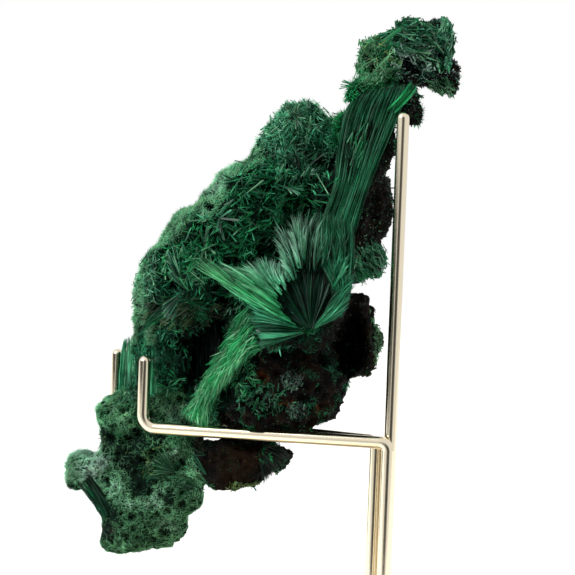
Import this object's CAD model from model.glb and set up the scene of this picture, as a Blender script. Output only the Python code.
"""Looks of a fibrous malachite specimen on a bent-wire display stand.

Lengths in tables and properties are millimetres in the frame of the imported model: +Z up,
origin under the base, the specimen's best face towards -Y.
"""

import math

import bmesh
import bpy
import numpy as np
from mathutils import Matrix, Vector
from mathutils.bvhtree import BVHTree


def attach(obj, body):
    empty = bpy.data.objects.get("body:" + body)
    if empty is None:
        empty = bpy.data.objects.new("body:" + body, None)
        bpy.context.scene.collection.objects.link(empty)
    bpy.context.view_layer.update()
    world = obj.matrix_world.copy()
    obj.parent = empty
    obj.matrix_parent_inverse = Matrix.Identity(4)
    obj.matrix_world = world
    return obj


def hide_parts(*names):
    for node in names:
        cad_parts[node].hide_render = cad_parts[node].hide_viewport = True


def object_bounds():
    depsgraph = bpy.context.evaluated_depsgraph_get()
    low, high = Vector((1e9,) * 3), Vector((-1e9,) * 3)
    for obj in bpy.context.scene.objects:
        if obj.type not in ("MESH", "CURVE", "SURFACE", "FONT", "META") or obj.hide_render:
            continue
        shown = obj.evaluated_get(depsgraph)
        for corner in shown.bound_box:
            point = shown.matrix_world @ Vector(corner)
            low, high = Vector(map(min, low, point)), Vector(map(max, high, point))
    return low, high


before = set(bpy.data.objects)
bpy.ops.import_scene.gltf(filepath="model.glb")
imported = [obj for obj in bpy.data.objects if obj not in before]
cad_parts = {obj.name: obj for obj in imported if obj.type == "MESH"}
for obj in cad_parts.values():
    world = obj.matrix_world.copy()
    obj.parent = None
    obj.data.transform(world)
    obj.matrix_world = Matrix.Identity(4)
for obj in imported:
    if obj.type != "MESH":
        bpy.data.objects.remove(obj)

bl_info = {
    "name": "Malachite Specimen On A Wire Stand",
    "version": (1, 0, 0),
    "blender": (4, 5, 0),
    "location": "3D View > Sidebar > Specimen",
    "description": "Grows a fibrous malachite specimen and its wire stand around the packed model",
    "category": "Add Mesh",
}

MM = 0.001
CAD_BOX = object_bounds()

# Long crystals grown side by side. Each bundle is a run of rungs from its root to its tips,
# and each rung goes from one edge of the bundle to the other. Lengths are shares of the run.
BUNDLES = {
    "blade": {
        "rungs": [
            ((3.2, -10.5, 85.0), (11.2, -9.0, 85.4)),
            ((4.6, -8.5, 91.1), (12.5, -7.0, 93.4)),
            ((7.3, -6.5, 99.6), (15.1, -5.0, 102.4)),
            ((8.0, -5.5, 107.7), (18.0, -4.0, 110.3)),
            ((9.3, -4.5, 115.5), (20.6, -3.5, 117.2)),
            ((11.6, -3.5, 119.7), (22.5, -2.5, 122.3)),
        ],
        "count": 5200, "clumps": 60, "starts": (0.0, 0.8), "length": (0.15, 0.4),
        "width": 0.17, "relief": 1.4, "shades": ("deep", "green", "mint"), "steps": 4,
        "fade": 0.6,
    },
    "hub up": {
        "rungs": [
            ((7.2, -14.0, 73.2), (9.4, -13.8, 72.8)),
            ((8.2, -13.6, 79.5), (11.2, -12.6, 78.4)),
            ((5.6, -13.0, 85.0), (11.7, -11.4, 83.6)),
            ((4.3, -12.0, 89.0), (12.0, -10.4, 87.5)),
            ((4.4, -9.5, 95.4), (11.6, -8.5, 93.3)),
        ],
        "count": 1500, "clumps": 16, "starts": (0.08, 0.8), "length": (0.15, 0.45),
        "width": 0.22, "relief": 1.3, "shades": ("deep", "green", "mint"), "steps": 4,
    },
    "mint sheet": {
        "rungs": [
            ((-8.2, -11.5, 77.0), (-5.6, -12.3, 67.3)),
            ((-11.4, -9.8, 71.0), (-8.6, -10.8, 65.9)),
            ((-13.9, -7.2, 65.8), (-11.4, -8.4, 62.5)),
            ((-16.7, -4.2, 61.4), (-13.4, -5.4, 59.5)),
            ((-18.4, -2.2, 57.4), (-15.6, -3.4, 55.5)),
            ((-21.4, 0.0, 52.8), (-16.4, -1.0, 50.9)),
        ],
        "count": 2900, "clumps": 17, "starts": (0.0, 0.95), "length": (0.06, 0.2),
        "width": 0.2, "relief": 1.5, "shades": ("bright", "bright", "pale"), "steps": 3,
        "stray": 0.8,
    },
    "left column": {
        "rungs": [
            ((-35.7, 17.0, 54.9), (-30.2, 12.0, 55.8)),
            ((-35.5, 17.0, 61.7), (-31.0, 13.0, 62.5)),
            ((-35.2, 18.0, 68.1), (-31.8, 15.0, 69.6)),
        ],
        "count": 800, "clumps": 9, "starts": (0.0, 0.5), "length": (0.3, 0.6),
        "width": 0.22, "relief": 1.0, "shades": ("green", "mint", "pale"), "steps": 4,
    },
    "right column": {
        "rungs": [
            ((-28.6, 8.0, 56.1), (-24.9, 7.0, 57.6)),
            ((-28.5, 8.5, 62.3), (-25.6, 7.5, 63.3)),
            ((-28.9, 10.0, 69.0), (-26.1, 9.0, 69.5)),
        ],
        "count": 620, "clumps": 6, "starts": (0.0, 0.4), "length": (0.4, 0.7),
        "width": 0.22, "relief": 0.9, "shades": ("green", "mint", "pale"), "steps": 4,
    },
    "cavity strands": {
        "rungs": [
            ((-19.4, 13.0, 58.7), (-14.9, 12.0, 61.5)),
            ((-19.7, 14.0, 65.0), (-15.3, 13.0, 66.9)),
            ((-19.6, 15.0, 70.9), (-15.8, 14.0, 72.8)),
        ],
        "count": 160, "clumps": 7, "starts": (0.0, 0.6), "length": (0.2, 0.5),
        "width": 0.24, "relief": 0.9, "shades": ("black", "deep", "teal"), "steps": 4,
    },
    "wing spray": {
        "rungs": [
            ((13.3, -2.5, 88.4), (16.1, -2.0, 90.1)),
            ((12.6, -3.0, 85.5), (17.8, -2.5, 87.7)),
            ((12.1, -3.0, 83.3), (19.1, -2.0, 85.4)),
        ],
        "count": 520, "clumps": 10, "starts": (0.0, 0.5), "length": (0.3, 0.6),
        "width": 0.2, "relief": 0.9, "shades": ("deep", "green", "mint"), "steps": 4,
    },
    "nub strand": {
        "rungs": [
            ((-42.9, 12.0, 36.4), (-41.2, 11.0, 39.1)),
            ((-39.7, 11.0, 32.9), (-38.2, 10.0, 35.1)),
            ((-37.1, 10.0, 28.9), (-36.1, 9.0, 31.6)),
        ],
        "count": 300, "clumps": 5, "starts": (0.0, 0.5), "length": (0.3, 0.6),
        "width": 0.2, "relief": 0.7, "shades": ("black", "deep", "green"), "steps": 4,
    },
    "olive ridge": {
        "rungs": [
            ((-31.9, 7.0, 68.1), (-30.4, 5.0, 70.7)),
            ((-26.9, 4.0, 72.1), (-26.1, 2.0, 75.0)),
            ((-22.0, 3.0, 73.5), (-21.4, 1.0, 76.4)),
            ((-17.0, 3.5, 71.7), (-16.2, 2.0, 74.2)),
        ],
        "count": 900, "clumps": 5, "starts": (0.0, 0.85), "length": (0.06, 0.16),
        "width": 0.18, "relief": 0.7, "shades": ("deep", "green", "bright"), "steps": 3,
        "stray": 0.5,
    },
    "ledge crust": {
        "rungs": [
            ((-5.6, -1.0, 45.0), (-3.7, -1.5, 47.6)),
            ((-4.6, -1.0, 41.8), (-0.8, -1.5, 46.9)),
            ((-4.5, 0.0, 38.7), (1.9, 0.5, 45.2)),
        ],
        "count": 420, "clumps": 8, "starts": (0.0, 0.3), "length": (0.4, 0.7),
        "width": 0.2, "relief": 0.6, "shades": ("black", "black", "deep"), "steps": 4,
    },
    "neck lath": {
        "rungs": [
            ((17.3, -5.4, 116.2), (19.1, -5.4, 115.4)),
            ((20.4, -4.6, 119.5), (22.1, -4.6, 118.9)),
            ((22.3, -4.6, 122.6), (23.7, -4.6, 121.6)),
        ],
        "count": 110, "clumps": 4, "starts": (0.0, 0.3), "length": (0.5, 0.8),
        "width": 0.24, "relief": 0.4, "shades": ("green", "bright", "bright"), "steps": 4,
    },
}

# The great fan: crystals that radiate from one hub and stand up around it like half a shell.
# Outline: angle from +X in degrees, and the distance in millimetres to the inner and the
# outer ends. The dark inside of the shell lies between the hub and the inner ends.
FAN_HUB = (3.9, -14.0, 71.5)
FAN_OUTLINE = [
    (20, 1.0, 5.6), (40, 1.0, 10.0), (54, 1.4, 13.8), (60, 7.0, 14.5), (66, 10.5, 16.5),
    (72, 12.5, 21.0), (85, 13.5, 23.0), (96, 13.6, 23.6), (103, 12.6, 21.8), (109, 11.6, 20.7),
    (115, 11.2, 15.5), (127, 10.2, 16.9), (135, 9.6, 17.9), (139, 9.0, 21.5),
    (147, 7.0, 25.2), (152, 5.0, 27.6), (155, 4.2, 23.0), (158, 3.6, 16.5),
    (163, 3.0, 13.6), (170, 2.4, 12.4), (182, 1.6, 11.4), (200, 1.4, 11.6),
]
FAN_BACK_SLOPE = 0.2
FAN_LAYERS = {
    "shell": {
        "angles": (30.0, 170.0), "count": 4600, "clumps": 70, "width": 0.21, "relief": 1.7,
        "lift": 0.9, "within": (0.0, 0.6), "length": (0.3, 0.75),
    },
    "laths": {
        "angles": (34.0, 168.0), "count": 620, "clumps": 50, "width": 0.4, "relief": 1.5,
        "lift": 1.3, "within": (0.0, 0.5), "length": (0.35, 0.9),
    },
    "inside": {
        "angles": (62.0, 154.0), "count": 900, "clumps": 19, "width": 0.24, "relief": 1.6,
        "lift": -1.3, "within": None, "length": (0.6, 1.0),
    },
    "ribs": {
        "angles": (64.0, 150.0), "count": 34, "clumps": 9, "width": 0.34, "relief": 0.8,
        "lift": -0.7, "within": None, "length": (0.5, 1.0), "shades": ("deep", "teal", "mint"),
    },
    "strands": {
        "angles": (166.0, 200.0), "count": 1200, "clumps": 6, "width": 0.22, "relief": 2.4,
        "lift": 1.0, "within": (0.0, 0.4), "length": (0.5, 0.95),
    },
}
FAN_SHADES = [
    (20, ("green", "mint")), (66, ("green", "mint")), (80, ("deep", "green")),
    (100, ("green", "silver")), (125, ("mint", "silver")), (140, ("bright", "silver")),
    (152, ("bright", "sage")), (162, ("green", "mint")), (200, ("green", "mint")),
]

# Kinds of ground on the face of the specimen. at: centre along X and Z, size: radii;
# sink: how deep the bare ground lies; cell, pits: width and depth of its pits; fine growth:
# fibres to the square millimetre, their length, width and steepness; shades: dark to light;
# level: how much brighter the fibres are than their shades
GROUNDS = {
    "thicket": {
        "at": (-12.0, 91.0), "size": (21.0, 17.0), "sink": 0.6, "cell": 4.2, "pits": 3.8,
        "fine": (7.0, 1.2, 0.16, 0.8), "shades": ("black", "deep", "green"),
    },
    "knob": {
        "at": (0.0, 111.0), "size": (8.0, 9.0), "sink": 0.3, "cell": 3.2, "pits": 2.0,
        "fine": (9.0, 1.1, 0.16, 0.8), "shades": ("green", "mint", "pale"),
        "level": 1.25,
    },
    "throat": {
        "at": (9.0, 116.5), "size": (3.6, 6.0), "sink": 0.4, "cell": 2.4, "pits": 1.2,
        "fine": (12.0, 1.4, 0.16, 1.0), "shades": ("deep", "bright", "bright"),
    },
    "rays": {
        "at": (-23.5, 77.5), "size": (8.5, 8.0), "sink": 0.8, "cell": 4.0, "pits": 2.6,
        "fine": (4.0, 1.5, 0.15, 0.8), "shades": ("black", "green", "mint"),
    },
    "cavity": {
        "at": (-14.5, 65.0), "size": (8.5, 10.5), "sink": 1.0, "cell": 4.0, "pits": 2.0,
        "fine": (1.4, 1.5, 0.16, 0.8), "shades": ("black", "black", "deep"),
        "level": 1.8,
    },
    "stalks": {
        "at": (-30.0, 62.0), "size": (7.5, 8.0), "sink": 1.1, "cell": 3.0, "pits": 1.5,
        "fine": (8.0, 1.3, 0.16, 0.6), "shades": ("deep", "green", "mint"),
    },
    "upper felt": {
        "at": (-32.0, 50.5), "size": (11.0, 8.5), "sink": 0.5, "cell": 3.0, "pits": 2.0,
        "fine": (15.0, 1.0, 0.15, 0.35), "shades": ("green", "sage", "pale"),
        "level": 1.6,
    },
    "lobe felt": {
        "at": (-28.0, 32.0), "size": (13.0, 13.0), "sink": 0.4, "cell": 2.3, "pits": 1.6,
        "fine": (17.0, 0.8, 0.14, 0.25), "shades": ("deep", "sage", "pale"),
        "level": 1.35,
    },
    "nub felt": {
        "at": (-43.0, 43.0), "size": (6.0, 5.0), "sink": 0.6, "cell": 2.0, "pits": 1.2,
        "fine": (16.0, 1.1, 0.15, 0.4), "shades": ("sage", "pale", "pale"),
        "level": 1.8,
    },
    "sheet": {
        "at": (-11.0, 69.0), "size": (3.4, 5.0), "sink": 0.3, "cell": 1.6, "pits": 0.8,
        "fine": (15.0, 1.0, 0.16, 0.4), "shades": ("green", "mint", "pale"),
    },
    "sheet foot": {
        "at": (-17.2, 56.5), "size": (3.2, 5.5), "sink": 0.3, "cell": 1.6, "pits": 0.8,
        "fine": (15.0, 1.0, 0.16, 0.4), "shades": ("green", "mint", "pale"),
    },
    "hub": {
        "at": (0.0, 77.0), "size": (9.0, 9.0), "sink": 1.6, "cell": 3.0, "pits": 1.0,
        "fine": (3.0, 1.3, 0.16, 0.5), "shades": ("black", "deep", "green"),
    },
    "matrix": {
        "at": (2.0, 60.0), "size": (17.0, 9.5), "sink": 0.0, "cell": 3.2, "pits": 1.8,
        "fine": (10.0, 0.8, 0.14, 0.6), "shades": ("deep", "green", "mint"),
    },
    "cave": {
        "at": (13.5, 70.5), "size": (6.5, 9.5), "sink": 0.0, "cell": 2.4, "pits": 0.9,
        "fine": (5.0, 0.6, 0.13, 0.5), "shades": ("black", "deep", "olive"),
    },
    "ledge": {
        "at": (-6.5, 43.5), "size": (10.5, 6.5), "sink": 0.2, "cell": 2.2, "pits": 0.8,
        "fine": (6.0, 0.8, 0.13, 0.4), "shades": ("black", "deep", "olive"),
    },
    "wing": {
        "at": (16.0, 95.0), "size": (5.0, 13.0), "sink": 0.2, "cell": 1.6, "pits": 0.9,
        "fine": (3.0, 0.7, 0.13, 0.5), "shades": ("black", "black", "deep"),
    },
    "head felt": {
        "at": (15.5, 127.5), "size": (5.5, 7.5), "sink": 0.4, "cell": 2.4, "pits": 1.6,
        "fine": (12.0, 1.2, 0.15, 0.4), "shades": ("deep", "bright", "pale"),
        "level": 1.3,
    },
    "head crust": {
        "at": (26.5, 127.0), "size": (8.0, 9.5), "sink": 0.4, "cell": 1.9, "pits": 1.2,
        "fine": (7.0, 0.9, 0.14, 0.45), "shades": ("deep", "green", "mint"),
        "level": 1.4,
    },
    "neck": {
        "at": (21.0, 117.0), "size": (5.0, 5.5), "sink": 0.5, "cell": 1.7, "pits": 0.9,
        "fine": (8.0, 1.1, 0.15, 0.7), "shades": ("black", "deep", "green"),
        "level": 2.0,
    },
    "under the blade": {
        "at": (12.0, 104.0), "size": (5.5, 16.0), "sink": 1.2, "cell": 3.0, "pits": 0.5,
        "fine": (2.0, 1.2, 0.18, 0.3), "shades": ("black", "black", "deep"),
    },
    "rim": {
        "at": None, "size": None, "sink": 0.4, "cell": 1.9, "pits": 1.3,
        "fine": (16.0, 1.0, 0.2, 0.9), "shades": ("mint", "pale", "pale"),
    },
    "back": {
        "at": None, "size": None, "sink": 0.8, "cell": 4.4, "pits": 2.2,
        "fine": (7.0, 1.3, 0.17, 0.8), "shades": ("black", "deep", "green"),
    },
}
BARE = ("matrix", "cave", "ledge", "wing", "head crust", "neck")

# Deep dark openings in the face: centre along X and Z, radii, depth
OPENINGS = [
    ((12.3, 70.0), (3.6, 6.9), 9.0), ((-18.5, 64.5), (3.6, 5.2), 6.0),
    ((-14.6, 69.0), (2.4, 3.6), 5.0),
    ((-1.1, 95.6), (1.1, 1.1), 4.0), ((-17.8, 95.9), (1.3, 1.1), 3.0),
    ((-19.3, 91.9), (2.2, 0.9), 3.5), ((-20.7, 87.0), (1.3, 1.3), 3.0),
    ((-4.7, 87.8), (2.4, 1.9), 4.5), ((-11.9, 84.8), (3.2, 1.1), 3.0),
    ((-24.6, 80.0), (2.0, 1.6), 2.5),
    ((-13.4, 76.0), (2.4, 1.8), 4.0), ((23.4, 124.3), (1.5, 1.2), 1.8),
    ((20.9, 129.9), (1.7, 0.9), 1.5), ((10.9, 126.4), (1.0, 0.8), 1.5),
    ((16.2, 127.5), (1.0, 0.9), 1.8), ((21.4, 125.4), (1.8, 2.1), 2.4),
    ((28.1, 128.2), (1.0, 1.7), 1.8), ((13.2, 127.8), (0.9, 1.0), 1.6),
    ((14.3, 124.8), (1.1, 0.9), 1.6),
]

# Where the ground is filled out under the crystals: the centre and radii of each lump
FILLED = [
    ((6.5, -4.2, 98.0), (3.4, 2.6, 6.0)), ((7.0, -5.5, 78.6), (4.0, 4.0, 4.0)),
    ((-8.5, 4.0, 69.0), (3.4, 3.6, 3.4)), ((12.6, -1.9, 121.3), (3.0, 2.6, 2.0)),
    ((10.2, -3.6, 118.6), (2.2, 2.4, 1.6)), ((22.8, 0.0, 120.2), (1.6, 2.0, 1.8)),
    ((14.6, -1.2, 122.4), (2.2, 2.2, 2.0)), ((18.6, -1.6, 109.4), (1.7, 2.6, 4.2)), 
    ((12.4, -4.0, 83.6), (2.0, 2.4, 1.6)), ((2.5, -9.0, 70.0), (2.4, 2.6, 2.2)),
]

# Small moves of the outline: where along X and Z, how far around, how far it moves
NUDGES = [
    ((16.9, 133.0), 6.0, (1.3, -1.5)), ((11.0, 127.0), 4.0, (1.1, 0.0)),
    ((32.6, 129.6), 5.0, (-1.9, 0.0)), ((28.0, 120.5), 4.5, (1.0, 2.6)),
    ((-9.5, 108.6), 5.0, (1.7, -1.7)), ((-19.0, 100.9), 5.0, (1.2, -1.2)),
    ((-22.0, 97.2), 3.0, (1.0, -1.0)), ((-30.5, 84.4), 5.0, (-1.7, 1.1)),
    ((-39.8, 53.9), 4.0, (-1.1, 0.0)), ((18.4, 74.0), 6.0, (-2.6, 0.0)),
    ((13.3, 58.9), 5.0, (-1.5, 1.5)), ((3.8, 52.5), 6.0, (0.3, -2.4)),
    ((8.6, 54.9), 4.0, (0.9, -1.2)), ((0.8, 46.6), 3.0, (0.8, 0.8)),
    ((-2.2, 39.8), 5.0, (-1.3, 1.4)), ((-27.4, 23.2), 6.0, (0.0, 2.0)),
    ((-17.2, 35.9), 4.0, (-0.4, 1.6)), ((-18.2, 33.2), 3.0, (1.2, 0.0)),
    ((-20.3, 27.5), 3.5, (1.1, -0.4)), ((-39.3, 26.2), 4.0, (1.0, 0.0)),
    ((-40.4, 33.1), 4.0, (-1.0, 0.0)), ((-48.6, 38.2), 3.0, (1.0, 0.2)),
    ((-39.6, 45.8), 3.0, (-1.0, -0.6)), ((12.1, 82.6), 4.0, (-0.3, -1.2)),
]

# Crystals that radiate from one point of the face: the point along X and Z, how many, their
# length and width, the range of directions in degrees from +X, how far they lean out, shades
STARS = [
    ((-1.1, 114.6), 46, 2.8, 0.28, (0, 360), 0.3, ("deep", "green", "pale")),
    ((1.0, 103.4), 36, 5.2, 0.4, (35, 150), 0.25, ("black", "deep", "green")),
    ((-15.3, 93.2), 16, 4.6, 0.5, (0, 360), 0.4, ("deep", "green", "mint")),
    ((-7.6, 86.6), 60, 4.6, 0.36, (25, 165), 0.4, ("deep", "green", "mint")),
    ((-5.7, 96.8), 14, 4.4, 0.42, (0, 360), 0.4, ("green", "green", "mint")),
    ((0.9, 96.6), 12, 4.2, 0.42, (60, 300), 0.35, ("green", "mint", "pale")),
    ((-10.8, 99.0), 14, 4.6, 0.4, (0, 360), 0.4, ("deep", "green", "mint")),
    ((-12.2, 101.0), 14, 3.0, 0.34, (0, 360), 0.5, ("deep", "green", "mint")),
    ((-9.7, 104.6), 14, 3.4, 0.32, (0, 360), 0.5, ("deep", "green", "mint")),
    ((-21.0, 83.6), 16, 4.6, 0.42, (0, 360), 0.4, ("deep", "green", "mint")),
    ((-18.1, 87.8), 14, 4.6, 0.42, (0, 360), 0.4, ("deep", "green", "pale")),
    ((-10.5, 79.5), 14, 4.4, 0.42, (130, 330), 0.4, ("deep", "green", "green")),
    ((4.4, 107.8), 16, 3.6, 0.34, (60, 260), 0.5, ("green", "green", "mint")),
    ((-2.6, 107.7), 16, 3.4, 0.32, (0, 360), 0.5, ("green", "green", "mint")),
    ((-5.4, 101.8), 16, 4.4, 0.4, (0, 360), 0.4, ("deep", "green", "mint")),
    ((-15.8, 81.7), 16, 4.0, 0.4, (0, 360), 0.4, ("deep", "green", "mint")),
    ((-2.3, 100.0), 12, 4.4, 0.42, (0, 360), 0.35, ("green", "mint", "pale")),
    ((-9.5, 92.2), 16, 4.6, 0.42, (0, 360), 0.4, ("deep", "green", "mint")),
    ((-22.0, 78.4), 100, 8.6, 0.42, (110, 245), 0.05, ("deep", "teal", "silver")),
    ((-22.0, 78.4), 110, 8.0, 0.24, (95, 250), 0.12, ("green", "mint", "pale")),
    ((-24.5, 58.8), 14, 2.6, 0.24, (0, 360), 0.3, ("green", "bright", "mint")),
    ((-22.8, 60.4), 8, 2.2, 0.22, (0, 360), 0.3, ("green", "bright", "mint")),
    ((10.0, 113.0), 30, 3.4, 0.26, (95, 200), 0.2, ("green", "bright", "bright")),
    ((8.2, 109.5), 20, 3.0, 0.26, (80, 200), 0.2, ("green", "bright", "mint")),
    ((11.6, 121.0), 12, 3.0, 0.26, (150, 215), 0.1, ("green", "bright", "mint")),
    ((-6.4, 55.9), 26, 1.9, 0.2, (0, 360), 0.4, ("deep", "green", "bright")),
    ((-3.9, 44.6), 12, 1.6, 0.22, (-30, 60), 0.3, ("green", "bright", "bright")),
    ((-15.8, 40.8), 150, 7.6, 0.2, (118, 196), 0.16, ("black", "green", "mint")),
    ((-16.4, 44.8), 80, 6.0, 0.19, (132, 200), 0.16, ("black", "green", "sage")),
    ((-22.0, 41.0), 60, 5.0, 0.19, (120, 200), 0.16, ("deep", "green", "pale")),
    ((-17.0, 38.0), 60, 4.6, 0.19, (130, 205), 0.16, ("deep", "green", "sage")),
]

# Crystals that lie alone across the others: both ends along X and Z, width, shade
SINGLE_LATHS = [
    ((-11.6, 97.2), (-6.6, 101.4), 0.45, "pale"), ((-10.4, 95.2), (-5.8, 98.5), 0.45, "mint"),
    ((-11.4, 94.0), (-4.5, 98.0), 0.4, "mint"), ((4.0, 98.7), (10.2, 98.9), 0.4, "mint"),
    ((-6.2, 95.8), (1.2, 96.4), 0.4, "mint"), ((3.2, 96.9), (9.9, 97.3), 0.4, "green"),
    ((2.8, 115.1), (3.3, 110.6), 0.5, "mint"), ((-4.9, 110.8), (1.4, 111.0), 0.4, "mint"),
    ((0.9, 97.0), (3.6, 102.6), 0.5, "bright"), ((3.8, 102.8), (6.6, 99.0), 0.3, "pale"),
    ((19.0, 131.6), (26.0, 129.6), 0.5, "mint"), ((20.0, 129.0), (26.2, 128.3), 0.4, "sage"),
    ((19.3, 133.4), (26.4, 131.2), 0.5, "green"), ((27.6, 127.6), (27.9, 124.2), 0.35, "pale"),
    ((29.4, 130.0), (30.0, 125.0), 0.5, "bright"), ((13.0, 122.0), (18.2, 128.4), 0.4, "sage"),
    ((11.6, 124.6), (15.4, 127.2), 0.3, "sage"), ((12.2, 128.6), (16.6, 125.2), 0.3, "sage"),
    ((15.2, 129.8), (18.4, 134.2), 0.6, "bright"), ((16.2, 129.6), (19.8, 134.6), 0.6, "bright"),
    ((22.8, 119.2), (20.4, 114.6), 0.4, "green"), ((-25.6, 61.0), (-24.0, 56.2), 0.3, "mint"),
    ((-26.3, 58.0), (-22.4, 59.6), 0.25, "mint"), ((-21.8, 64.6), (-21.2, 61.8), 0.3, "green"),
    ((-16.8, 71.8), (-15.4, 66.4), 0.22, "sage"), ((-20.2, 68.6), (-19.4, 64.4), 0.2, "green"),
]

# Crystals that lie across an oval of the face: centre and radii, how many, length, width,
# their direction in degrees and its spread, how high the pile is, shades
LAID = [
    ((22.6, 131.6), (6.2, 3.2), 380, 2.6, 0.34, (-18, 20), 1.0, ("deep", "green", "mint")),
    ((21.0, 134.0), (4.6, 1.6), 90, 3.2, 0.3, (10, 25), 0.8, ("green", "bright", "mint")),
    ((29.0, 130.4), (2.0, 5.4), 200, 2.6, 0.4, (84, 14), 0.6, ("green", "mint", "pale")),
    ((17.0, 131.8), (1.8, 3.6), 130, 3.0, 0.32, (62, 12), 1.0, ("green", "bright", "mint")),
    ((15.0, 127.0), (4.6, 5.0), 300, 1.8, 0.26, (50, 60), 0.9, ("bright", "sage", "pale")),
    ((16.0, 127.5), (3.6, 4.0), 60, 1.6, 0.26, (30, 60), 1.0, ("moss", "moss", "pale")),
    ((22.8, 127.0), (4.6, 3.6), 230, 1.5, 0.3, (-30, 60), 0.8, ("teal", "silver", "ice")),
    ((25.0, 131.0), (4.0, 3.0), 60, 4.0, 0.34, (-22, 12), 1.3, ("mint", "sage", "pale")),
    ((28.6, 121.6), (2.6, 2.4), 220, 1.8, 0.24, (-38, 14), 0.5, ("green", "sage", "pale")),
    ((18.2, 118.6), (2.2, 3.4), 110, 2.6, 0.26, (60, 25), 0.9, ("deep", "green", "mint")),
    ((-17.0, 66.5), (5.0, 7.0), 90, 3.0, 0.2, (70, 50), 1.2, ("deep", "bright", "mint")),
    ((-22.0, 73.8), (9.0, 3.0), 260, 3.0, 0.22, (35, 30), 1.0, ("deep", "olive", "green")),
    ((-1.5, 111.5), (5.4, 6.0), 330, 3.0, 0.28, (80, 60), 1.0, ("mint", "mint", "pale")),
    ((-5.5, 57.0), (5.0, 3.5), 170, 1.7, 0.22, (20, 60), 0.6, ("deep", "green", "mint")),
    ((-9.0, 61.0), (2.6, 4.0), 170, 1.7, 0.22, (60, 50), 0.6, ("green", "bright", "sage")),
    ((0.7, 61.0), (2.0, 2.2), 130, 1.0, 0.22, (0, 90), 0.4, ("teal", "grey", "sage")),
    ((1.7, 55.0), (2.0, 1.8), 110, 1.0, 0.22, (0, 90), 0.4, ("teal", "grey", "sage")),
    ((3.0, 71.6), (2.4, 1.0), 70, 1.5, 0.22, (20, 60), 0.5, ("green", "bright", "mint")),
    ((-30.5, 80.0), (3.0, 6.0), 140, 2.6, 0.22, (60, 50), 0.9, ("deep", "mint", "pale")),
    ((-7.0, 98.0), (8.5, 7.0), 240, 4.4, 0.32, (38, 45), 1.3, ("green", "bright", "mint")),
    ((-14.0, 88.0), (9.0, 7.0), 240, 4.2, 0.3, (10, 50), 1.3, ("deep", "bright", "mint")),
    ((-1.5, 91.0), (5.0, 4.5), 160, 3.4, 0.28, (100, 40), 1.2, ("deep", "bright", "mint")),
    ((-9.0, 85.0), (6.0, 3.0), 130, 3.4, 0.28, (100, 40), 1.2, ("deep", "bright", "mint")),
    ((1.5, 103.5), (4.0, 4.5), 110, 3.6, 0.3, (75, 40), 1.2, ("deep", "green", "mint")),
    ((12.0, 112.0), (1.6, 7.0), 90, 4.0, 0.24, (72, 10), 0.6, ("green", "bright", "mint")),
    ((-33.0, 59.0), (3.6, 5.0), 90, 2.6, 0.24, (80, 40), 0.8, ("deep", "green", "mint")),
    ((15.6, 86.4), (3.4, 3.2), 200, 3.0, 0.22, (-55, 18), 0.8, ("green", "mint", "pale")),
    ((15.5, 82.6), (3.2, 1.0), 170, 1.8, 0.22, (-75, 30), 0.8, ("green", "bright", "mint")),
    ((-21.0, 84.0), (6.0, 4.5), 220, 3.4, 0.26, (20, 60), 1.2, ("green", "bright", "pale")),
    ((17.8, 70.0), (0.9, 5.5), 190, 1.0, 0.22, (80, 60), 0.5, ("olive", "sage", "sage")),
    ((16.5, 61.5), (2.4, 1.4), 120, 1.0, 0.22, (20, 60), 0.5, ("black", "olive", "moss")),
    ((-2.4, 45.0), (2.6, 3.0), 170, 1.5, 0.22, (30, 50), 0.5, ("deep", "green", "bright")),
    ((-7.0, 38.8), (5.0, 1.1), 150, 1.0, 0.2, (10, 60), 0.4, ("olive", "moss", "green")),
    ((-26.0, 43.0), (3.6, 3.6), 160, 2.0, 0.2, (35, 50), 0.6, ("deep", "green", "moss")),
]

# Sprays of crystals all over: how far apart they stand, how many crystals each has, their
# length and width, how wide they open, and their shades
SPRAYS = {
    "thicket": (1.6, 12, 4.2, 0.27, 0.4, ("deep", "green", "bright", "mint")),
    "knob": (1.4, 11, 2.8, 0.25, 0.4, ("deep", "mint", "pale")),
    "throat": (1.4, 10, 2.2, 0.22, 0.3, ("green", "bright", "bright")),
    "rays": (2.3, 10, 3.2, 0.24, 0.36, ("deep", "green", "mint")),
    "cavity": (2.4, 7, 2.6, 0.22, 0.35, ("deep", "green", "mint")),
    "stalks": (1.8, 9, 2.2, 0.22, 0.35, ("deep", "green", "mint")),
    "upper felt": (1.6, 7, 1.4, 0.19, 0.5, ("green", "moss", "sage")),
    "head felt": (1.5, 7, 1.6, 0.26, 0.4, ("deep", "bright", "pale")),
    "head crust": (1.7, 6, 1.5, 0.26, 0.5, ("black", "deep", "green")),
    "neck": (1.8, 7, 1.6, 0.22, 0.5, ("deep", "green", "mint")),
    "matrix": (2.4, 9, 1.0, 0.18, 0.7, ("black", "deep", "bright")),
    "back": (1.9, 8, 2.8, 0.27, 0.35, ("deep", "green", "mint")),
}
SPRAY_SINK = 0.7

# Small stubby crystals that glint: how many, their length and width, shades
GLINTS = {
    "wing": (2200, 0.7, 0.26, ("black", "deep", "sage")),
    "head crust": (3000, 0.8, 0.3, ("black", "teal", "ice")),
    "neck": (900, 0.7, 0.26, ("black", "deep", "grey")),
    "matrix": (2200, 0.5, 0.24, ("black", "deep", "grey")),
    "cave": (500, 0.5, 0.24, ("black", "olive", "olive")),
    "ledge": (700, 0.5, 0.22, ("black", "deep", "olive")),
}


def linear(code):
    """An sRGB hex colour as linear red, green and blue."""
    parts = [int(code[i:i + 2], 16) / 255 for i in (1, 3, 5)]
    return [c / 12.92 if c <= 0.04045 else ((c + 0.055) / 1.055) ** 2.4 for c in parts]


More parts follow.
